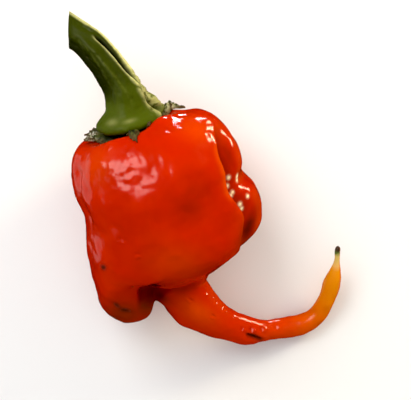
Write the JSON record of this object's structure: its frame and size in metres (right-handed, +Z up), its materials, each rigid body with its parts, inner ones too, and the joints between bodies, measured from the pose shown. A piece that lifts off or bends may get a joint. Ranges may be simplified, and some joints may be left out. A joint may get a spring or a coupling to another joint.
{
  "type": "chilli pepper",
  "caption": "Fresh hook-tailed hot chilli pepper lying on its side: a lobed, glossy pod with a curled tail, a ragged calyx and a cut green stem.",
  "frame": {"origin": "on the flat spot under the pod that the pepper rests on", "axes": "+Z up from the surface it lies on, +Y back along the pepper towards the cut stem, +X towards the side where the tail hooks"},
  "size_m": [0.0492, 0.0603, 0.0305],
  "materials": {
    "pod_skin": "glossy waxy skin, red with orange rims, turning orange and yellow along the tail to a dried brown tip",
    "calyx_cork": "matt, drying sepals, grey-green with pale corky lumps and brown edges",
    "stem_green": "satin dark green, ribbed, with a pale yellow-green ridge along one side and a paler cut end"
  },
  "bodies": {
    "root": {"pod": "pod_skin", "calyx": "calyx_cork", "stem": "stem_green"}
  },
  "joints": []
}
